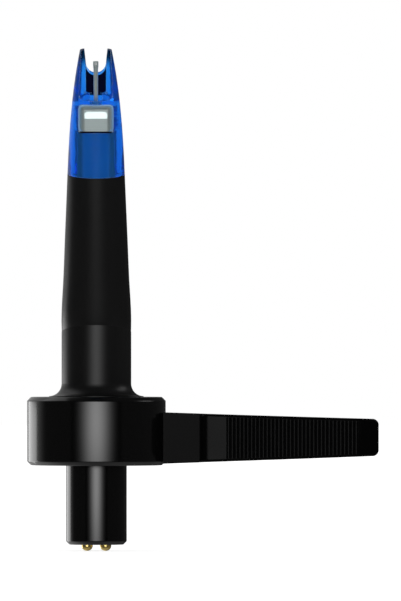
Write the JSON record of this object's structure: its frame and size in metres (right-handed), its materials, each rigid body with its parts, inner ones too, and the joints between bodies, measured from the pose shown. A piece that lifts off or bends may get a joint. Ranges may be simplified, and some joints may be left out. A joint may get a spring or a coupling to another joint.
{
  "type": "turntable stylus cartridge",
  "caption": "One-piece turntable cartridge with a bayonet headshell plug, round collar, ribbed finger lift, drooping nose and a pull-off clear blue stylus unit.",
  "frame": {"origin": "centre of the shoulder, the collar's rear face, on the plug's axis", "axes": "+Z along the plug's axis towards the stylus, -Y towards the record, +X towards the finger lift"},
  "size_m": [0.0457, 0.0217, 0.0651],
  "materials": {
    "matte_black": "matte moulded",
    "satin_black": "turned, satin gloss",
    "lift_black": "matte moulded, ribbed",
    "clear_blue": "clear tinted moulding",
    "silver": "satin metal",
    "gold": "gold plated",
    "insulator": "moulded",
    "grey_moulding": "moulded",
    "steel": "bright",
    "copper": "enamelled winding",
    "lead_sheath": "plastic sheath",
    "damper_rubber": "moulded",
    "diamond": "polished"
  },
  "bodies": {
    "body": {"nose_shell": "matte_black", "generator_frame": "grey_moulding", "rear_collar": "satin_black", "plug_barrel": "satin_black", "guide_pin": "steel", "contact_carrier": "insulator", "finger_lift": "lift_black", "contact_1": "gold", "contact_2": "gold", "contact_3": "gold", "contact_4": "gold", "yoke": "steel", "screen_can": "steel", "pole_piece_1": "steel", "pole_piece_2": "steel", "pole_piece_3": "steel", "pole_piece_4": "steel", "bobbin_1": "grey_moulding", "bobbin_2": "grey_moulding", "bobbin_3": "grey_moulding", "bobbin_4": "grey_moulding", "coil_1": "copper", "coil_2": "copper", "coil_3": "copper", "coil_4": "copper", "lead_1": "lead_sheath", "lead_2": "lead_sheath", "lead_3": "lead_sheath", "lead_4": "lead_sheath"},
    "stylus_unit": {"stylus_housing": "clear_blue", "stylus_block": "silver", "magnet_sleeve": "steel", "tie_retainer": "steel", "tie_wire": "steel"},
    "damper": {"damper_ring": "damper_rubber"},
    "cantilever": {"cantilever": "silver", "diamond_tip": "diamond", "magnet": "steel"}
  },
  "joints": [
    {"name": "stylus_pull", "type": "slide", "parent": "body", "child": "stylus_unit", "axis": [0, -0.2079, 0.9781], "range_m": [0, 0.01]},
    {"name": "lateral_swing", "type": "hinge", "parent": "stylus_unit", "child": "damper", "pos_m": [0, -0.00767, 0.0431], "axis": [0, 0.891, 0.454], "range_deg": [-4, 4], "stiffness_Nm_per_rad": 0.005},
    {"name": "vertical_swing", "type": "hinge", "parent": "damper", "child": "cantilever", "pos_m": [0, -0.00767, 0.0431], "axis": [-1, 0, 0], "range_deg": [-1, 5], "stiffness_Nm_per_rad": 0.005}
  ]
}
